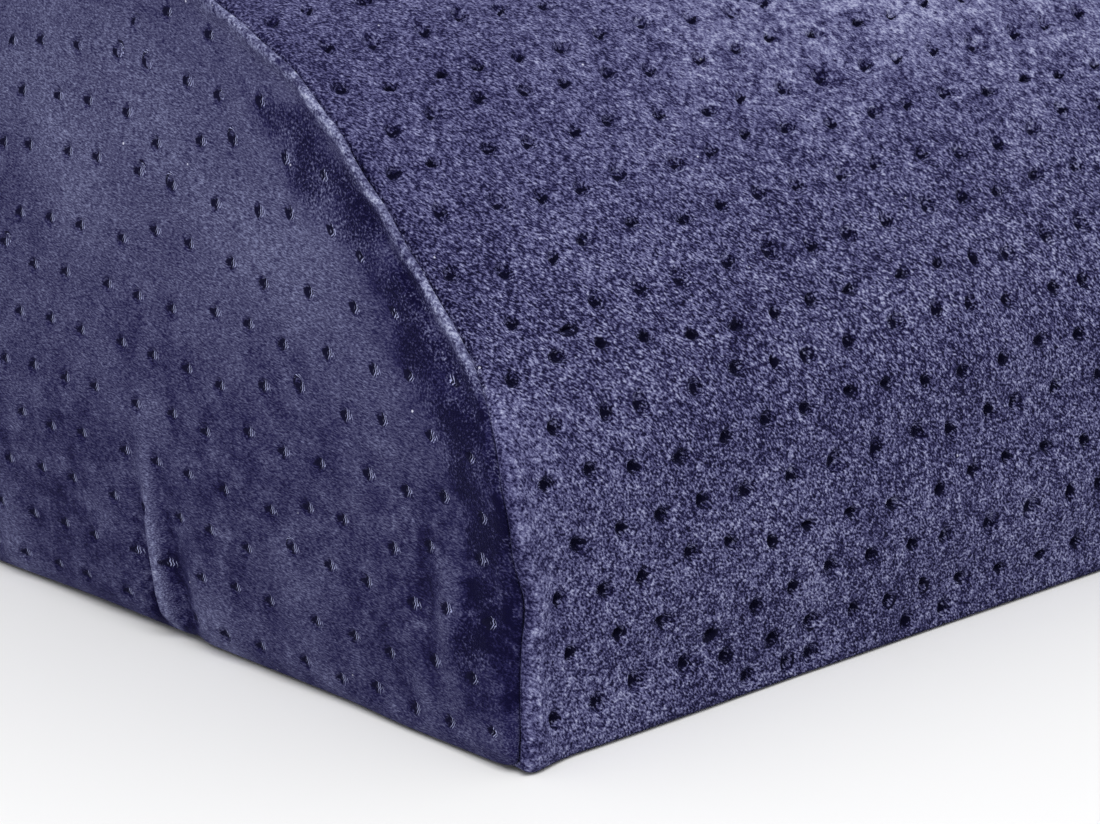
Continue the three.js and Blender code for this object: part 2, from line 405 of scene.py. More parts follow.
def crease_shadow(from_seam, inside, y, z):
    """How much painted shade falls on a point of the seam's crease, from 0 to about 1. The painted shadow is
    deep where the crease gapes and faint where it closes."""
    share = changed_over(z)
    far = [share * a + (1 - share) * b - at for a, b, at in zip(*CREASE, (from_seam, inside))]
    width = share * CREASE_WIDTH[0] + (1 - share) * CREASE_WIDTH[1]
    mean, swing, most = CREASE_GAP_SHADOW
    gap_shadow = np.clip(mean + swing * wander(y, z, CREASE_WAVES, 9), 0, most) * between(z, *CREASE_FOOT)
    gap_shadow *= 1 - CREASE_CLOSED_HIGH * share
    return gap_shadow * np.exp(-(far[0] ** 2 + far[1] ** 2) / width**2)


def strayed(from_seam, inside, y, z):
    """How far the cloth near the front seam of the left end is shifted with it along the length."""
    far = sum(shift * np.exp(-(((z - at) / spread) ** 2)) for at, spread, shift in SEAM_STRAYS)
    return far * between(-y, *STRAY_FRONT) * np.exp(-(from_seam**2 + inside**2) / STRAY_REACH**2)


def places(piece):
    """A piece's vertices in millimetres."""
    flat = np.empty(len(piece.data.vertices) * 3)
    piece.data.vertices.foreach_get("co", flat)
    return flat.reshape(-1, 3) / MM


def put(piece, spots):
    """Puts a piece's vertices at spots in millimetres."""
    piece.data.vertices.foreach_set("co", (np.asarray(spots) * MM).ravel())
    piece.data.update()


def only(piece, mode="OBJECT"):
    """Selects one piece alone, in the given mode."""
    bpy.ops.object.select_all(action="DESELECT")
    piece.select_set(True)
    bpy.context.view_layer.objects.active = piece
    bpy.ops.object.mode_set(mode=mode)


def cut_cloth(name, columns, rows):
    """A flat grid of cloth, and the column and row of each of its vertices."""
    bpy.ops.object.select_all(action="DESELECT")
    bpy.ops.mesh.primitive_grid_add(x_subdivisions=columns, y_subdivisions=rows, size=1)
    piece = bpy.context.object
    piece.name = piece.data.name = name
    flat = places(piece) * MM
    column = np.rint((flat[:, 0] + 0.5) * columns).astype(int)
    row = np.rint((flat[:, 1] + 0.5) * rows).astype(int)
    return piece, column, row


def mark(piece, name, values):
    """Keeps a value on each vertex of a piece."""
    kept = piece.data.attributes.new(name, "FLOAT", "POINT")
    kept.data.foreach_set("value", np.asarray(values, np.float32))


def puff(piece, held, stiffness, cap):
    """Swells a piece under pressure with its sewn edges held, each point moving at most cap mm."""
    only(piece)
    before = places(piece)
    sewn = piece.vertex_groups.new(name="sewn")
    sewn.add(np.flatnonzero(held).tolist(), 1.0, "REPLACE")
    filling = piece.modifiers.new("filling", "CLOTH")
    filling.settings.quality = 8
    filling.settings.mass = 0.3
    filling.settings.tension_stiffness = stiffness
    filling.settings.compression_stiffness = stiffness
    filling.settings.shear_stiffness = stiffness / 2
    filling.settings.bending_stiffness = 2
    filling.settings.tension_damping = 20
    filling.settings.air_damping = 5
    filling.settings.use_pressure = True
    filling.settings.uniform_pressure_force = 4
    filling.settings.vertex_group_mass = "sewn"
    filling.settings.effector_weights.gravity = 0
    filling.collision_settings.use_collision = False
    for step in range(1, FILLING_STEPS + 1):
        bpy.context.scene.frame_set(step)
    bpy.ops.object.modifier_apply(modifier="filling")
    piece.vertex_groups.clear()
    bpy.context.scene.frame_set(1)
    moved = places(piece) - before
    far = np.linalg.norm(moved, axis=1, keepdims=True)
    put(piece, before + moved * np.minimum(1, cap / np.maximum(far, 1e-6)))


def roll_edge(piece, side, rows):
    """Extrudes the open edge on one side through rows, each of which places its points by their girth,
    and closes the last one."""
    only(piece, "EDIT")
    bpy.ops.mesh.select_mode(type="EDGE")
    bpy.ops.mesh.select_all(action="DESELECT")
    cloth = bmesh.from_edit_mesh(piece.data)
    for edge in cloth.edges:
        if edge.is_boundary and edge.verts[0].co.x * side > 0:
            edge.select_set(True)
    bmesh.update_edit_mesh(piece.data)
    for place in rows:
        bpy.ops.mesh.extrude_edges_indiv()
        cloth = bmesh.from_edit_mesh(piece.data)
        girth = cloth.verts.layers.float["girth"]
        picked = [vert for vert in cloth.verts if vert.select]
        for vert, spot in zip(picked, place(np.array([vert[girth] for vert in picked]))):
            vert.co = Vector(spot) * MM
        bmesh.update_edit_mesh(piece.data)
    bpy.ops.mesh.fill_grid()
    bpy.ops.mesh.select_mode(type="FACE")
    bpy.ops.mesh.select_all(action="SELECT")
    bpy.ops.mesh.normals_make_consistent(inside=False)
    bpy.ops.object.mode_set(mode="OBJECT")


def press_dimples(piece, spots, open_faces, dimple, thread):
    """Presses a dimple into the open face nearest to each spot. The cloth in and round it keeps how far it
    lies from the dimple's middle in mm, across and along the threads on its floor, and 1 outside its mouth.
    Where the pile closes over a dimple, the distance across counts for more."""
    dip, mouth_in, wall, deep, most, closing = dimple
    centres = {face.index: face.center.copy() for face in piece.data.polygons if open_faces(face)}
    tree = KDTree(len(centres))
    for index, centre in centres.items():
        tree.insert(centre, index)
    tree.balance()
    chosen = {}
    for spot in spots:
        _, index, far = tree.find(Vector(spot) * MM)
        if index not in chosen and far < DIMPLE_REACH * MM:
            chosen[index] = Vector(spot) * MM

    only(piece, "EDIT")
    bpy.ops.mesh.select_mode(type="FACE")
    bpy.ops.mesh.select_all(action="DESELECT")
    cloth = bmesh.from_edit_mesh(piece.data)
    cloth.faces.ensure_lookup_table()
    for index in chosen:
        cloth.faces[index].select_set(True)
        for vert in cloth.faces[index].verts:
            vert.co -= vert.normal * dip * MM
    bmesh.update_edit_mesh(piece.data)
    bpy.ops.mesh.inset(thickness=mouth_in * MM, use_individual=True)

    nearest = KDTree(len(chosen))
    wanted = list(chosen.values())
    for n, index in enumerate(chosen):
        nearest.insert(centres[index], n)
    nearest.balance()
    cloth = bmesh.from_edit_mesh(piece.data)
    for face in [face for face in cloth.faces if face.select]:
        centre = face.calc_center_median()
        stray = wanted[nearest.find(centre)[1]] - centre
        stray -= face.normal * stray.dot(face.normal)
        if stray.length > most * MM:
            stray *= most * MM / stray.length
        for vert in face.verts:
            vert.co += stray
    bmesh.update_edit_mesh(piece.data)
    bpy.ops.mesh.inset(thickness=wall * MM, depth=-deep * MM, use_individual=True)

    cloth = bmesh.from_edit_mesh(piece.data)
    pit = cloth.verts.layers.float_vector.new("pit")
    for vert in cloth.verts:
        vert[pit] = Vector(NO_DIMPLE)
    for face in [face for face in cloth.faces if face.select]:
        centre = face.calc_center_median()
        ahead = Vector(thread)
        ahead = (ahead - face.normal * ahead.dot(face.normal)).normalized()
        across = ahead.cross(face.normal)
        across *= 1 + closing * between(centre.z / MM, *DIMPLE_CLOSING)
        mouth = {vert for corner in face.verts for slope in corner.link_faces for vert in slope.verts}
        beside = {vert for corner in mouth for slope in corner.link_faces for vert in slope.verts}
        for vert in beside:
            out = (vert.co - centre) / MM
            vert[pit] = Vector((out.dot(across), out.dot(ahead), 0 if vert in mouth else 1))
    bmesh.update_edit_mesh(piece.data)
    bpy.ops.object.mode_set(mode="OBJECT")


def round_off(piece, levels):
    """Makes the mesh of a piece finer and rounder."""
    only(piece)
    finer = piece.modifiers.new("finer", "SUBSURF")
    finer.levels = finer.render_levels = levels
    bpy.ops.object.modifier_apply(modifier="finer")
    bpy.ops.object.shade_smooth()
    piece.data.attributes.remove(piece.data.attributes["girth"])


def nearest_outline(spots, from_seam):
    """Distance round the outline of its point nearest to each spot, and how far away that is."""
    girth = np.linspace(0, GIRTH, OUTLINE_POINTS, endpoint=False)
    tree = KDTree(len(girth))
    for n, at in enumerate(drawn_in(girth, from_seam)[0]):
        tree.insert((*at, 0), n)
    tree.balance()
    found = [tree.find((*spot, 0)) for spot in spots]
    return girth[[n for _, n, _ in found]], np.array([far for _, _, far in found])


def face_values(piece, values):
    """The vertex of each corner of a piece's faces, the face of each, and the mean of values on each face."""
    vertex = np.empty(len(piece.data.loops), int)
    piece.data.loops.foreach_get("vertex_index", vertex)
    count = np.empty(len(piece.data.polygons), int)
    piece.data.polygons.foreach_get("loop_total", count)
    face = np.repeat(np.arange(len(count)), count)
    return vertex, face, np.bincount(face, values[vertex]) / count


def facing_x(piece):
    """How far each face of a piece faces along the length."""
    flat = np.empty(len(piece.data.polygons) * 3)
    piece.data.polygons.foreach_get("normal", flat)
    return flat.reshape(-1, 3)[:, 0]


def lay_flat(piece, across, up):
    """Names the flat pattern of a piece, its place from 0 to 1 for each corner of its faces, OFBake."""
    for old in list(piece.data.uv_layers):
        piece.data.uv_layers.remove(old)
    pattern = piece.data.uv_layers.new(name="OFBake")
    pattern.data.foreach_set("uv", np.column_stack([across, up]).astype(np.float32).ravel())


def brush_wrap(piece, from_seam, inside, y, z):
    """Keeps how the pile of the wrap lies, with painted light and shade, and how ruffled it is."""
    low = 1 - changed_over(z)
    lit_far_top = between(z, 72, 110) * between(from_seam, 35, 140)
    # Painted light on the far top, painted shade on the turned edge, beside the ridge and in the crease, and
    # darker along the bottom 1.2 mm
    lies = {
        "all over": 1,
        "low seam": low * np.exp(-from_seam / 7),
        "turned edge": low * between(-from_seam, 0.5, 1.7),
        "beside the ridge": (1 - low) * np.exp(-(((from_seam - 4) / 4) ** 2)),
        "far top": lit_far_top,
        "shoulder": np.exp(-(((z - 52) / 18) ** 2)),
        "base fold": 1 - between(z, 0, 1.2),
    }
    nap_and_painted_light = sum(WRAP_NAP_AND_PAINTED_LIGHT[part] * share for part, share in lies.items())
    mark(piece, "nap_and_painted_light", nap_and_painted_light - CREASE_SHADE * crease_shadow(from_seam, inside, y, z))
    smoothed = {
        "high": between(z, 65, 105),
        "far top": lit_far_top,
        "low seam": low * np.exp(-from_seam / 12),
    }
    mark(piece, "ruffled", 1 - sum(WRAP_SMOOTHED[part] * share for part, share in smoothed.items()))


def wrap_panel():
    """The filled wrap panel: a puffed tube over the half-moon, its rolled edges and its dimples."""
    half = [0.0]
    for length, _, rows in HALF_OUTLINE:
        half += [half[-1] + length * (n + 1) / rows for n in range(rows)]
    stops = np.array(half + [GIRTH - stop for stop in half[-2::-1]])
    piece, column, row = cut_cloth("wrap_panel", WRAP_COLUMNS, len(stops) - 1)
    reach = SEAM_X - WRAP_EDGE

    def lie(column, girth):
        x = -reach + 2 * reach * column / WRAP_COLUMNS
        on_arch = between(np.minimum(girth, GIRTH - girth) - ARCH_START, 0, LOOSE_FADE)
        loose = LOOSE * on_arch * between(reach - np.abs(x), 0, LOOSE_FADE)
        out, round_it = (loose * wander(x, girth, LOOSE_WAVES, seed) for seed in (1, 2))
        x, girth = x + out, girth + round_it
        from_seam = SEAM_X - np.abs(x)
        spot, faces = drawn_in(girth, from_seam)
        slack = 0
        for let_in, (low, high) in ((WALL_PUFF, WALL_SPAN), (FLANK_PUFF, FLANK_SPAN)):
            up = between(spot[:, 1], low, low + PUFF_FADE)
            slack = slack + let_in * (up * between(high - spot[:, 1], 0, PUFF_FADE))
        slack = slack * (1 - np.exp(-(from_seam - WRAP_EDGE) / PUFF_FROM_SEAM))
        slack = slack + LOOSE_DEPTH * loose * wander(x, girth, LOOSE_DEPTH_WAVES, 4)
        return np.column_stack([x, spot - faces * slack[:, None]])

    put(piece, lie(column, stops[row]))
    mark(piece, "girth", stops[row])
    only(piece, "EDIT")
    bpy.ops.mesh.select_all(action="SELECT")
    bpy.ops.mesh.remove_doubles(threshold=0.01 * MM)
    bpy.ops.mesh.normals_make_consistent(inside=False)
    bpy.ops.object.mode_set(mode="OBJECT")

    rest = places(piece)
    puff(piece, (np.abs(rest[:, 0]) > reach - HELD_EDGE) | (rest[:, 2] < HELD_BASE), *WRAP_FILLING)
    for side in (-1, 1):
        rolled = [seam_row(side, *turns) for turns in WRAP_ROLL]
        backed = [back_row(side, *WRAP_BACK_EDGE)]
        for share, inset, rise in BACK_RINGS[1::2]:
            backed.append(back_row(side, share, inset, rise - CLOTH - WRAP_BACK_GAP))
        roll_edge(piece, side, rolled + backed)

    # One dimple to every two columns and rows, in staggered lines
    down, along = np.meshgrid(np.arange(0, len(stops) - 1, 2), np.arange(WRAP_COLUMNS // 2), indexing="ij")
    along = 2 * along + (down // 2) % 2
    down, along = down.ravel(), along.ravel()
    middle = (stops[down] + stops[down + 1]) / 2
    arch = (middle > ARCH_START) & (middle < GIRTH - ARCH_START)
    spots = lie(along[arch] + 0.5, middle[arch])
    press_dimples(
        piece,
        spots + np.random.default_rng(3).normal(0, WRAP_SCATTER, spots.shape),
        lambda face: abs(face.center.x) < reach * MM and face.center.z > DIMPLE_FOOT * MM,
        WRAP_DIMPLE,
        (1, 0, 0),
    )
    round_off(piece, 1)

    final = places(piece)
    from_seam, y, z = SEAM_X - np.abs(final[:, 0]), final[:, 1], final[:, 2]
    girth, _ = nearest_outline(final[:, 1:], FAR_FROM_SEAM)
    _, inside = nearest_outline(final[:, 1:], 0)
    brush_wrap(piece, from_seam, inside, y, z)
    final[:, 0] += np.where(final[:, 0] < 0, strayed(from_seam, inside, y, z), 0)
    put(piece, final)

    # Flat pattern: the arch at full size, and the unseen base and ends small above it
    vertex, face, at_seam = face_values(piece, from_seam)
    _, _, deep = face_values(piece, inside)
    _, _, from_base = face_values(piece, np.minimum(girth, GIRTH - girth))
    turned = (np.abs(facing_x(piece)) > UNSEEN_FACING) | (deep > UNSEEN_DEPTH)
    unseen = ((at_seam < UNSEEN_FROM_SEAM) & turned)[face]
    under = (from_base < ARCH_START)[face]
    x, y, z, girth = final[vertex, 0], y[vertex], z[vertex], girth[vertex]
    arch = np.clip(girth - ARCH_START, 0, GIRTH - 2 * ARCH_START) / WRAP_PATTERN
    base = np.clip(np.mod(girth + ARCH_START, GIRTH), 0, 2 * ARCH_START) / (2 * ARCH_START)
    base = WRAP_BASE_AT[0] + WRAP_BASE_AT[1] * base
    ends = WRAP_ENDS_AT[0] + WRAP_ENDS_AT[1] * z / HEIGHT
    across = np.where(unseen, 0.25 + 0.5 * (x > 0) + y / WRAP_PATTERN_ENDS, 0.5 + x / WRAP_PATTERN)
    lay_flat(piece, across, np.where(unseen, ends, np.where(under, base, arch)))
    return piece


def fold_rise(folds, y, z):
    """How far the folds lift an end panel."""
    rise = np.zeros(len(y))
    for at, width, out, middle, reach, lean in folds:
        up = (z - middle) / reach
        rise += out * np.exp(-(((y - at - lean * up) / width) ** 2)) * smooth(1 - np.abs(up))
    return rise


def panel_net():
    """The net of an end panel before it is filled: depth, height and rise of each crossing, and the girth of
    those on its rim."""
    u = np.arange(PANEL_COLUMNS + 1) / PANEL_COLUMNS
    v = np.arange(PANEL_ROWS + 1) / PANEL_ROWS
    low = np.mod((2 * u - 1) * ARCH_START, GIRTH)
    top = HALF_GIRTH + (1 - 2 * u) * (HALF_GIRTH - FLANK_MIDDLE)
    back = ARCH_START + v * (FLANK_MIDDLE - ARCH_START)
    front = GIRTH - back

    def edge(girth):
        spot, faces = drawn_in(girth, 0)
        at = spot - as_turned(spot, faces, *PANEL_EDGE)[:, None] * faces
        return np.column_stack([at, as_turned(spot, faces, *PANEL_EDGE_RISE)])

    low_at, top_at, back_at, front_at = edge(low), edge(top), edge(back), edge(front)
    U, V = u[None, :, None], v[:, None, None]
    net = ((1 - V) * low_at[None] + V * top_at[None] + (1 - U) * front_at[:, None] + U * back_at[:, None]
           - (1 - U) * (1 - V) * low_at[0] - U * (1 - V) * low_at[-1]
           - (1 - U) * V * top_at[0] - U * V * top_at[-1])
    for _ in range(PANEL_PASSES):
        net[1:-1, 1:-1] = (net[2:, 1:-1] + net[:-2, 1:-1] + net[1:-1, 2:] + net[1:-1, :-2]) / 4
    around = np.zeros((PANEL_ROWS + 1, PANEL_COLUMNS + 1))
    around[:, 0], around[:, -1], around[0], around[-1] = front, back, low, top
    return net, around


def dark_band(y, z, inside, patches, mottle):
    """The band beside the seam where the pile is brushed back. It is wider low down, fades over the top and
    near the base, and stays off the middle of the bottom edge."""
    width, strays, fade = BAND
    width = width + BAND_WIDER_LOW * (1 - between(z, 30, 70)) + strays * patches
    band = (1 - between(inside - width, 0, fade)) * between(z, 4, 20)
    band *= (1 - BAND_FADED_TOP * between(z, 98, 114)) * (BAND_MOTTLE[0] + BAND_MOTTLE[1] * mottle)
    band *= 1 - BAND_FADED_LOW * (1 - between(z, 28, 53))
    return band * np.maximum(between(z, 15, 45), between(np.abs(y), 82, 96))


def brush_end(piece, beyond, inside, y, z, folded, seed):
    """Keeps how the pile of an end panel lies, with painted light and shade, and how ruffled it is."""
    patches = wander(y, z, END_WAVES["patches"], seed + 30)
    width, strays, fade = RIDGE
    width = width + strays * wander(y, z, END_WAVES["ridge"], seed + 40)
    ridge = between(width - inside, 0, fade) * changed_over(z)
    mottle = wander(y, z, END_WAVES["dark band"], seed + 50)
    # Painted light on the ridge and upward over the panel, painted light on the fold crests and painted shade
    # in their troughs, and painted shade in the crease
    lies = {
        "all over": 1,
        "ridge": ridge,
        "dark band": (1 - ridge) * dark_band(y, z, inside, patches, mottle),
        "upward": between(z, 30, 95),
        "patches": patches,
        "folds": np.clip(folded, -DEEPEST_FOLD, DEEPEST_FOLD),
    }
    nap_and_painted_light = sum(END_NAP_AND_PAINTED_LIGHT[part] * share for part, share in lies.items())
    mark(piece, "nap_and_painted_light", nap_and_painted_light - CREASE_SHADE * crease_shadow(-beyond, inside, y, z))
    mark(piece, "ruffled", np.clip(sum(share * lies[part] for part, share in END_RUFFLED.items()), 0, 1))


def end_panel(name, side, folds, creases, dent, seed):
    """A half-moon end panel: a puffed sheet with a rolled edge, dimples and soft folds."""
    piece, column, row = cut_cloth(name, PANEL_COLUMNS, PANEL_ROWS)
    net, around = panel_net()
    spot, base = net[row, column, :2], net[row, column, 2]
    rim = (row == 0) | (row == PANEL_ROWS) | (column == 0) | (column == PANEL_COLUMNS)
    out = np.minimum(1, np.linalg.norm((spot - PANEL_MIDDLE) / PANEL_SPAN, axis=1))
    rise = base + np.where(rim, 0, PANEL_START_RISE * (1 - out**2))
    put(piece, np.column_stack([side * (SEAM_X + rise), spot]))
    mark(piece, "girth", around[row, column])
    if side < 0:
        only(piece, "EDIT")
        bpy.ops.mesh.select_all(action="SELECT")
        bpy.ops.mesh.flip_normals()
        bpy.ops.object.mode_set(mode="OBJECT")
    puff(piece, rim, *PANEL_FILLING)

    # Scaled so that the fullest part swells just to the crown
    swollen = places(piece)
    rise = side * swollen[:, 0] - SEAM_X - base
    full = rise > 0.5 * rise.max()
    rise *= ((PANEL_CROWN - base[full]) / rise[full]).min()
    swollen[:, 0] = side * (SEAM_X + base + rise)
    put(piece, swollen)

    rolled = [seam_row(side, *turns) for turns in PANEL_ROLL]
    backed = [back_row(side, share, inset, rise - CLOTH) for share, inset, rise in BACK_RINGS[1:]]
    roll_edge(piece, side, rolled + [back_row(side, *BACK_RINGS[0])] + backed)

    half = math.ceil(DEPTH / 2 / DIMPLE_PITCH)
    lines = np.arange(math.ceil(HEIGHT / DIMPLE_PITCH))
    down, along = np.meshgrid(lines, np.arange(-half, half + 1), indexing="ij")
    spots = DIMPLE_PITCH * np.column_stack([(along + 0.5 * (down % 2)).ravel(), down.ravel() + 0.5])
    spots += np.random.default_rng(seed).normal(0, PANEL_SCATTER, spots.shape)
    press_dimples(
        piece,
        np.column_stack([np.full(len(spots), side * (SEAM_X + DIMPLE_PLANE)), spots]),
        lambda face: side * face.normal.x > DIMPLE_FACING and face.area > DIMPLE_LEAST_AREA * MM**2,
        PANEL_DIMPLE,
        (0, 0, 1),
    )
    round_off(piece, 2)

    final = places(piece)
    beyond = side * final[:, 0] - SEAM_X
    y, z = final[:, 1].copy(), final[:, 2].copy()
    folded = fold_rise(folds, y, z) + fold_rise(creases, y, z)
    slack = PANEL_SLACK * wander(y, z, PANEL_SLACK_WAVES, seed + 20)
    final[:, 0] += side * (folded + slack) * between(beyond, *FOLD_START)
    lift = between(y - dent, -DENT_WIDTH, DENT_WIDTH) * (1 - between(y, *LIFT_END))
    lift = DENT_LIFT * (lift + np.exp(-(((y - dent) / DENT_WIDTH) ** 2)))
    final[:, 2] += lift * (1 - between(z, 0, DENT_HEIGHT))
    put(piece, final)

    _, inside = nearest_outline(final[:, 1:], 0)
    brush_end(piece, beyond, inside, y, z, folded, seed)
    if side < 0:
        final[:, 0] += strayed(-beyond, inside, y, z)
        put(piece, final)

    # Flat pattern: the face at full size, and the unseen back smaller above it
    vertex, face, _ = face_values(piece, inside)
    open_side = (side * facing_x(piece) > 0)[face]
    y, z = y[vertex], z[vertex]
    up = np.where(open_side, END_FACE_AT + z / END_PATTERN, END_BACK_AT[0] + END_BACK_AT[1] * z / HEIGHT)
    lay_flat(piece, 0.5 + y / END_PATTERN, up)
    return piece


wrap = wrap_panel()
left_end = end_panel("left_end", -1, LEFT_FOLDS, LEFT_CREASES, LEFT_DENT, 5)
right_end = end_panel("right_end", 1, RIGHT_FOLDS, RIGHT_CREASES, RIGHT_DENT, 6)
for piece, node_name, slot in (
    (wrap, "wrap_body", "wrap_velour"),
    (left_end, "left_end_panel", "end_velour"),
    (right_end, "right_end_panel", "end_velour"),
):
    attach(piece, "root")
    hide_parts(node_name)


def linear(code):
    """Turns an sRGB hex value to linear."""
    parts = [int(code[n:n + 2], 16) / 255 for n in (1, 3, 5)]
    return [part / 12.92 if part <= 0.04045 else ((part + 0.055) / 1.055) ** 2.4 for part in parts] + [1]


def node(tree, kind, links=(), stops=(), **settings):
    """Adds a node with its settings. Links give each socket a value or another node's output."""
    made = tree.nodes.new("ShaderNode" + kind)
    for key, value in settings.items():
        setattr(made, key, value)
    for n, (at, code) in enumerate(stops):
        stop = made.color_ramp.elements[n] if n < 2 else made.color_ramp.elements.new(at)
        stop.position, stop.color = at, linear(code)
    for socket, value in dict(links).items():
        if isinstance(value, bpy.types.NodeSocket):
            tree.links.new(value, made.inputs[socket])
        else:
            made.inputs[socket].default_value = value
    return made


# Knitted polyester velour with a pile about 1.5 mm high. Where the pile is ruffled it breaks up into fine
# tufts, with painted light where they lean to the light and painted shade between them. Where it is brushed
# flat, as over most of the ends, it shows fine streaks. It clumps a little, has wider blots where it is
# ruffled, is brushed one way or the other in patches, glows at grazing angles, and has caught a few specks of
# lint. Sizes in mm, pairs for brushed and for ruffled pile. A single fibre is too fine to show, so tufts and
# streaks are drawn as small as the picture can hold.
GRAIN = (0.24, 0.38)
GRAIN_LEAN = ((0, -0.99, -0.12), (0.7, -0.35, -0.62))
GRAIN_STRETCH = (3, 1.8)
GRAIN_DEPTH = (1.25, 2.6)
CLUMP = 1.5
CLUMP_DEPTH = (0.25, 1.0)
BLOT = 6
BLOT_DEPTH = (0, 0.35)
PATCH = 22
PATCH_DEPTH = (0.15, 0.4)
PILE_RELIEF = 0.25
# How far clumps and blots break up the shade of the pile, with its painted light and shade
CLUMP_MOTTLE = 3
BLOT_MOTTLE = 3.6
LINT_SPREAD = 11
LINT = 0.28
LINT_CORE = 0.6
LINT_SHADE = "#c4c6da"
# Colours of the pile from dark to light. Besides its own tones they carry painted shade between tufts, round
# dimples and in creases, and painted light on tufts, ridges and the lit upper parts
WRAP_SHADES = [(0, "#04021c"), (1, "#9da0be"), (0.29, "#171539"), (0.5, "#434267"), (0.75, "#6e6f94")]
END_SHADES = [(0, "#060426"), (1, "#a2a6c1"), (0.25, "#1d1b42"), (0.5, "#464666"), (0.75, "#707395")]
SHEEN_SHADE = "#7a7ccc"
# Dimples: what each value is mapped from and to, or to 0 and 1. Outside the mouth distance is added, and the
# pile frays the edge of the hollow. The distance from an oval's middle, over its half size, gives the painted
# shade in the pile round the hollow, the painted shadow in the hollow and the bare floor. The waves of the
# knit give its threads.
MOUTH_RANGE = (0.45, 0.95, 0, 3)
FRAYED_RANGE = (-0.6, 0.3, 0.55, 1.15)
HALO_RANGE = (2.3, 1, 0, -0.15)
HOLLOW_RANGE = (1.2, 0.9)
FLOOR_RANGE = (1.2, 0.8)
THREAD_RANGE = (0.25, 0.85)
STITCH = 0.8


def velour_pile(tree, spot):
    """How high the pile stands, with its clumps and its blots."""
    ruffled = node(tree, "Attribute", attribute_name="ruffled").outputs["Fac"]
    clumps = node(tree, "TexNoise", {"Vector": spot, "Scale": 1 / (CLUMP * MM), "Detail": 2}).outputs["Fac"]
    blots = node(tree, "TexNoise", {"Vector": spot, "Scale": 1 / (BLOT * MM), "Detail": 2}).outputs["Fac"]
    patches = node(tree, "TexNoise", {"Vector": spot, "Scale": 1 / (PATCH * MM), "Detail": 3,
                                      "Roughness": 0.6}).outputs["Fac"]
    piles = []
    for size, lean, stretch, *depths in zip(
        GRAIN, GRAIN_LEAN, GRAIN_STRETCH, GRAIN_DEPTH, CLUMP_DEPTH, BLOT_DEPTH, PATCH_DEPTH
    ):
        turn = Vector((1, 0, 0)).rotation_difference(Vector(lean)).to_euler()
        laid = node(tree, "Mapping", {"Vector": spot, "Rotation": turn, "Scale": (stretch, 1, 1)},
                    vector_type="TEXTURE").outputs[0]
        grain = node(tree, "TexNoise", {"Vector": laid, "Scale": 1 / (size * MM), "Detail": 3,
                                        "Roughness": 0.5}).outputs["Fac"]
        total = -0.5 * sum(depths)
        for part, depth in zip((grain, clumps, blots, patches), depths):
            total = node(tree, "Math", {0: part, 1: depth, 2: total}, operation="MULTIPLY_ADD").outputs[0]
        piles.append(total)
    return node(tree, "Mix", {0: ruffled, 2: piles[0], 3: piles[1]}).outputs[0], clumps, blots


def velour_dimple(tree, pile, hollow, bare):
    """Painted shade in the pile round a dimple, painted shadow in its ragged hollow, and wavy threads where
    its floor is bare.
    """
    place = node(tree, "SeparateXYZ", {0: node(tree, "Attribute", attribute_name="pit").outputs["Vector"]})
    outside = node(tree, "MapRange", enumerate((place.outputs["Z"], *MOUTH_RANGE))).outputs[0]
    frayed = node(tree, "MapRange", enumerate((pile, *FRAYED_RANGE))).outputs[0]
    ovals = []
    for (middle, half), edge in ((hollow, frayed), (bare, 1)):
        parts = []
        for axis, at, reach in zip("XY", middle, half):
            part = node(tree, "Math", {0: place.outputs[axis], 1: at}, operation="SUBTRACT").outputs[0]
            part = node(tree, "Math", {0: part, 1: reach}, operation="DIVIDE").outputs[0]
            parts.append(node(tree, "Math", {0: part, 1: part}, operation="MULTIPLY").outputs[0])
        far = node(tree, "Math", {0: parts[0], 1: parts[1]}).outputs[0]
        far = node(tree, "Math", {0: far, 1: 0.5}, operation="POWER").outputs[0]
        far = node(tree, "Math", {0: far, 1: edge}, operation="MULTIPLY").outputs[0]
        ovals.append(node(tree, "Math", {0: far, 1: outside}).outputs[0])
    # Painted shade in the pile round the hollow, and painted shadow in the hollow under the pile that leans
    # over it
    halo_shade = node(tree, "MapRange", enumerate((ovals[0], *HALO_RANGE))).outputs[0]
    dark = node(tree, "MapRange", enumerate((ovals[0], *HOLLOW_RANGE))).outputs[0]
    open_floor = node(tree, "MapRange", enumerate((ovals[1], *FLOOR_RANGE))).outputs[0]
    wave = node(tree, "Math", {0: place.outputs["Y"], 1: math.pi / STITCH}, operation="MULTIPLY").outputs[0]
    wave = node(tree, "Math", {0: wave}, operation="SINE").outputs[0]
    rows = node(tree, "Math", {0: place.outputs["X"], 1: 2 * math.pi / STITCH, 2: wave},
                operation="MULTIPLY_ADD").outputs[0]
    rows = node(tree, "Math", {0: rows}, operation="SINE").outputs[0]
    rows = node(tree, "MapRange", enumerate((rows, *THREAD_RANGE))).outputs[0]
    rows = node(tree, "Math", {0: rows, 1: open_floor}, operation="MULTIPLY").outputs[0]
    return halo_shade, dark, rows


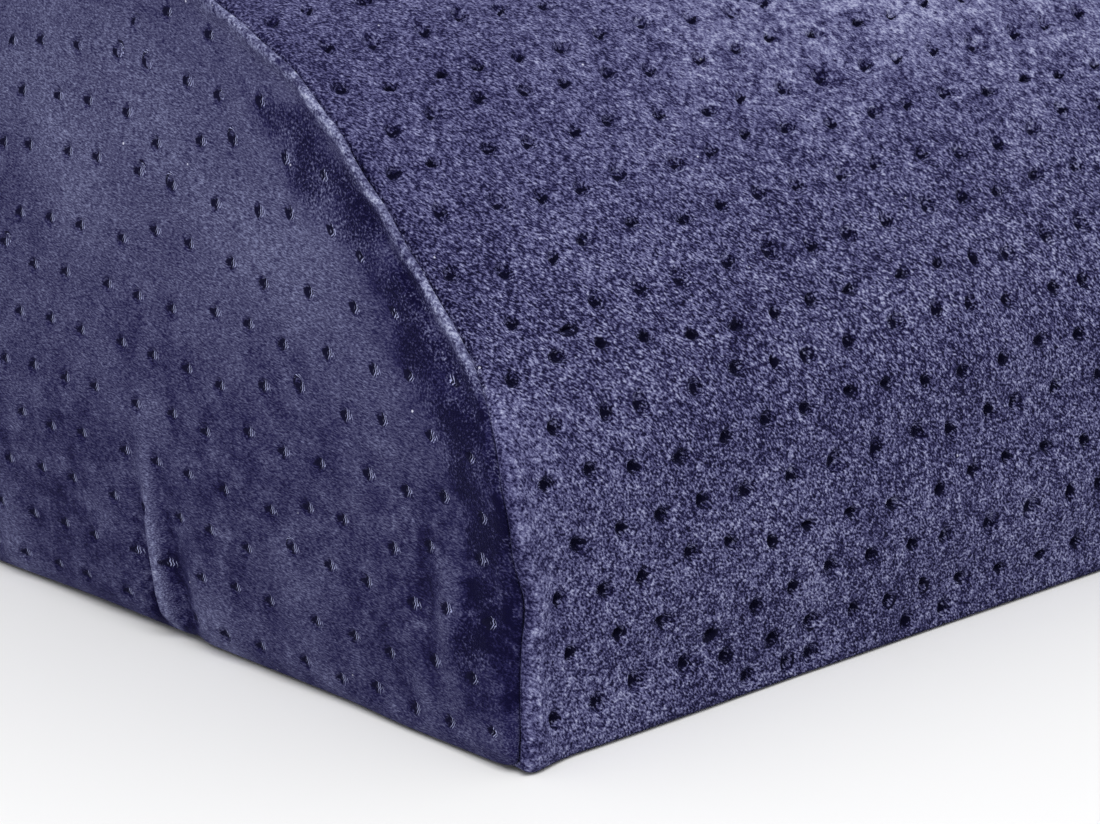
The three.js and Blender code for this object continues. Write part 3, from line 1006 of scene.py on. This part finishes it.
def velour(name, shades, hollow, hollow_shade, bare, thread_shade):
    """Velour whose dimples have a painted shadow in the hollow and bare threads, each an oval with a middle
    and half sizes.
    """
    cloth = bpy.data.materials.new(name)
    cloth.use_nodes = True
    tree = cloth.node_tree
    shader = tree.nodes["Principled BSDF"]
    spot = node(tree, "TexCoord").outputs["Object"]
    nap_and_painted_light = node(tree, "Attribute", attribute_name="nap_and_painted_light").outputs["Fac"]
    pile, clumps, blots = velour_pile(tree, spot)
    halo_shade, dark, rows = velour_dimple(tree, pile, hollow, bare)

    uneven = 1 - 0.5 * (CLUMP_MOTTLE + BLOT_MOTTLE)
    for part, depth in ((clumps, CLUMP_MOTTLE), (blots, BLOT_MOTTLE)):
        uneven = node(tree, "Math", {0: part, 1: depth, 2: uneven}, operation="MULTIPLY_ADD").outputs[0]
    shade = node(tree, "Math", {0: nap_and_painted_light, 1: uneven, 2: pile}, operation="MULTIPLY_ADD").outputs[0]
    shade = node(tree, "Math", {0: shade, 1: halo_shade}).outputs[0]
    shade = node(tree, "Math", {0: shade, 1: 0.5}).outputs[0]
    colour = node(tree, "ValToRGB", {"Fac": shade}, shades).outputs["Color"]
    specks = node(tree, "TexVoronoi", {"Vector": spot, "Scale": 1 / (LINT_SPREAD * MM)}).outputs["Distance"]
    lint = LINT / LINT_SPREAD
    specks = node(tree, "MapRange", {0: specks, 1: lint, 2: LINT_CORE * lint}).outputs[0]
    for share, over in ((specks, LINT_SHADE), (dark, hollow_shade), (rows, thread_shade)):
        colour = node(tree, "Mix", {0: share, 6: colour, 7: linear(over)}, data_type="RGBA").outputs[2]
    tree.links.new(colour, shader.inputs["Base Color"])

    bump = node(tree, "Bump", {"Height": pile, "Strength": 1, "Distance": PILE_RELIEF * MM})
    tree.links.new(bump.outputs["Normal"], shader.inputs["Normal"])
    shader.inputs["Roughness"].default_value = 0.95
    shader.inputs["Specular IOR Level"].default_value = 0.1
    shader.inputs["Sheen Weight"].default_value = 0.15
    shader.inputs["Sheen Roughness"].default_value = 0.35
    shader.inputs["Sheen Tint"].default_value = linear(SHEEN_SHADE)
    return cloth


# On the wrap the pile leans over all but one end of a dimple's floor, on the ends over one side of it, and
# the hollow's painted shadow lies under it.
wrap_velour = velour(
    "knitted velour, ruffled", WRAP_SHADES,
    ((0, 0.1), (1.5, 1.5)), "#04031c", ((0, -1.2), (0.9, 0.4)), "#6f7096",
)
end_velour = velour(
    "knitted velour, brushed", END_SHADES,
    ((-0.35, 0), (1.15, 1.2)), "#0b0a24", ((0.75, 0.1), (1.15, 1.3)), "#9ea2ca",
)
for piece, cloth in ((wrap, wrap_velour), (left_end, end_velour), (right_end, end_velour)):
    piece.data.materials.clear()
    piece.data.materials.append(cloth)

# Camera: where it stands round and above the pillow, its distance in mm, how far the middle of the picture
# lies right of the near bottom corner and above it, and its focal length in pixels of the picture
VIEW_AZIMUTH = math.radians(-43.04)
VIEW_ELEVATION = math.radians(17.43)
VIEW_DISTANCE = 800
VIEW_MIDDLE = (3.9, 61.95)
FRAME_WIDTH = 1100
FOCUS = 4640
SENSOR = 36
scene = bpy.context.scene
back = Vector((math.sin(VIEW_AZIMUTH) * math.cos(VIEW_ELEVATION),
               -math.cos(VIEW_AZIMUTH) * math.cos(VIEW_ELEVATION), math.sin(VIEW_ELEVATION)))
right = Vector((math.cos(VIEW_AZIMUTH), math.sin(VIEW_AZIMUTH), 0))
up = back.cross(right)
corner = Vector((-SEAM_X, -DEPTH / 2, 0))
camera = bpy.data.objects.new("camera", bpy.data.cameras.new("camera"))
scene.collection.objects.link(camera)
camera.data.sensor_width = SENSOR
camera.data.lens = SENSOR * FOCUS / FRAME_WIDTH
camera.location = (corner + VIEW_MIDDLE[0] * right + VIEW_MIDDLE[1] * up + VIEW_DISTANCE * back) * MM
camera.rotation_euler = Matrix((right, up, back)).transposed().to_euler()
scene.camera = camera

# Floor and light, in metres and watts
FLOOR_SIZE = 8
FLOOR_GAP = 0.0002
PAPER_SHADE = 0.85
SKY_STRENGTH = 0.7
LAMP_SIZE = 1.2
LAMP_POWER = 19
LAMP_PLACE = (-0.8, -0.7, 1.3)
LAMP_AIM = (0, 0, 0.05)
bpy.ops.object.select_all(action="DESELECT")
bpy.ops.mesh.primitive_plane_add(size=FLOOR_SIZE, location=(0, 0, CAD_BOX[0].z - FLOOR_GAP))
floor = bpy.context.object
floor.name = "floor"
paper = bpy.data.materials.new("white paper")
paper.use_nodes = True
paper.node_tree.nodes["Principled BSDF"].inputs["Base Color"].default_value = (*[PAPER_SHADE] * 3, 1)
floor.data.materials.append(paper)
world = bpy.data.worlds.new("studio")
scene.world = world
world.use_nodes = True
world.node_tree.nodes["Background"].inputs["Color"].default_value = (1, 1, 1, 1)
world.node_tree.nodes["Background"].inputs["Strength"].default_value = SKY_STRENGTH
lamp = bpy.data.objects.new("softbox", bpy.data.lights.new("softbox", "AREA"))
lamp.data.shape = "DISK"
lamp.data.size = LAMP_SIZE
lamp.data.energy = LAMP_POWER
lamp.location = LAMP_PLACE
lamp.rotation_euler = (Vector(LAMP_AIM) - lamp.location).to_track_quat("-Z", "Y").to_euler()
scene.collection.objects.link(lamp)
scene.view_settings.view_transform = "Standard"
